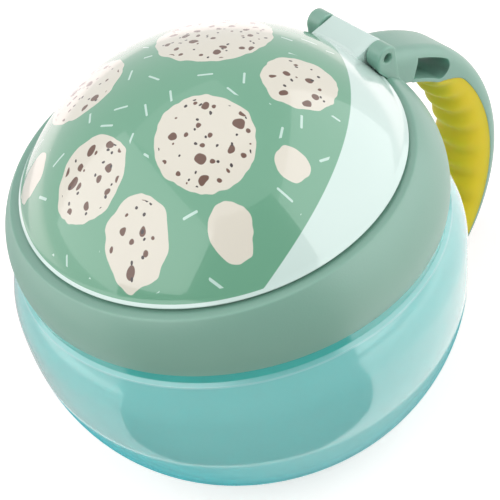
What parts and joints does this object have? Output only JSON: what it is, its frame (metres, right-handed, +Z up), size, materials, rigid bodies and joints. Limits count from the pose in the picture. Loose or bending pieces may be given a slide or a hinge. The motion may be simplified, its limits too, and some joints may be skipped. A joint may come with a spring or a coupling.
{
  "type": "toddler snack container",
  "caption": "Round snack container with a clear bowl, screw collar, hook handle with a ribbed grip, domed flip lid and a soft star-cut insert.",
  "frame": {"origin": "centre of the bowl's flat base, on the surface it stands on", "axes": "+Z up through the bowl's centre, +Y from the bowl's centre towards the hinge and handle, +X to the right seen from the front"},
  "size_m": [0.096, 0.1199, 0.0884],
  "materials": {
    "clear_plastic": "clear tinted, polished",
    "collar_plastic": "fine satin",
    "lid_plastic": "glossy, printed",
    "grip_rubber": "satin soft rubber",
    "flap_rubber": "matt soft rubber",
    "pin_steel": "drawn"
  },
  "bodies": {
    "bowl": {"bowl": "clear_plastic"},
    "insert": {"flap_ring": "flap_rubber"},
    "collar": {"collar": "collar_plastic", "handle_grip": "grip_rubber", "hinge_pin": "pin_steel"},
    "lid": {"lid": "lid_plastic"},
    "flap_1": {"flap_1": "flap_rubber"},
    "flap_2": {"flap_2": "flap_rubber"},
    "flap_3": {"flap_3": "flap_rubber"},
    "flap_4": {"flap_4": "flap_rubber"},
    "flap_5": {"flap_5": "flap_rubber"},
    "flap_6": {"flap_6": "flap_rubber"}
  },
  "joints": [
    {"name": "insert_lift", "type": "slide", "parent": "bowl", "child": "insert", "axis": [0, 0, 1], "range_m": [0, 0.01]},
    {"name": "collar_turn", "type": "hinge", "parent": "insert", "child": "collar", "pos_m": [0, 0, 0], "axis": [0, 0, 1], "range_deg": [0, 360]},
    {"name": "lid_hinge", "type": "hinge", "parent": "collar", "child": "lid", "pos_m": [0, 0.0381, 0.0718], "axis": [-1, 0, 0], "range_deg": [0, 130]},
    {"name": "flap_1_bend", "type": "hinge", "parent": "insert", "child": "flap_1", "pos_m": [0.0283, 0, 0.0589], "axis": [0, -1, 0], "range_deg": [-35, 70], "stiffness_Nm_per_rad": 0.02},
    {"name": "flap_2_bend", "type": "hinge", "parent": "insert", "child": "flap_2", "pos_m": [0.01415, 0.02451, 0.0589], "axis": [0.866, -0.5, 0], "range_deg": [-35, 70], "stiffness_Nm_per_rad": 0.02},
    {"name": "flap_3_bend", "type": "hinge", "parent": "insert", "child": "flap_3", "pos_m": [-0.01415, 0.02451, 0.0589], "axis": [0.866, 0.5, 0], "range_deg": [-35, 70], "stiffness_Nm_per_rad": 0.02},
    {"name": "flap_4_bend", "type": "hinge", "parent": "insert", "child": "flap_4", "pos_m": [-0.0283, 0, 0.0589], "axis": [0, 1, 0], "range_deg": [-35, 70], "stiffness_Nm_per_rad": 0.02},
    {"name": "flap_5_bend", "type": "hinge", "parent": "insert", "child": "flap_5", "pos_m": [-0.01415, -0.02451, 0.0589], "axis": [-0.866, 0.5, 0], "range_deg": [-35, 70], "stiffness_Nm_per_rad": 0.02},
    {"name": "flap_6_bend", "type": "hinge", "parent": "insert", "child": "flap_6", "pos_m": [0.01415, -0.02451, 0.0589], "axis": [-0.866, -0.5, 0], "range_deg": [-35, 70], "stiffness_Nm_per_rad": 0.02}
  ],
  "couplings": [
    {"joint": "insert_lift", "follows": "collar_turn", "m_per_rad": 0.0015915}
  ]
}
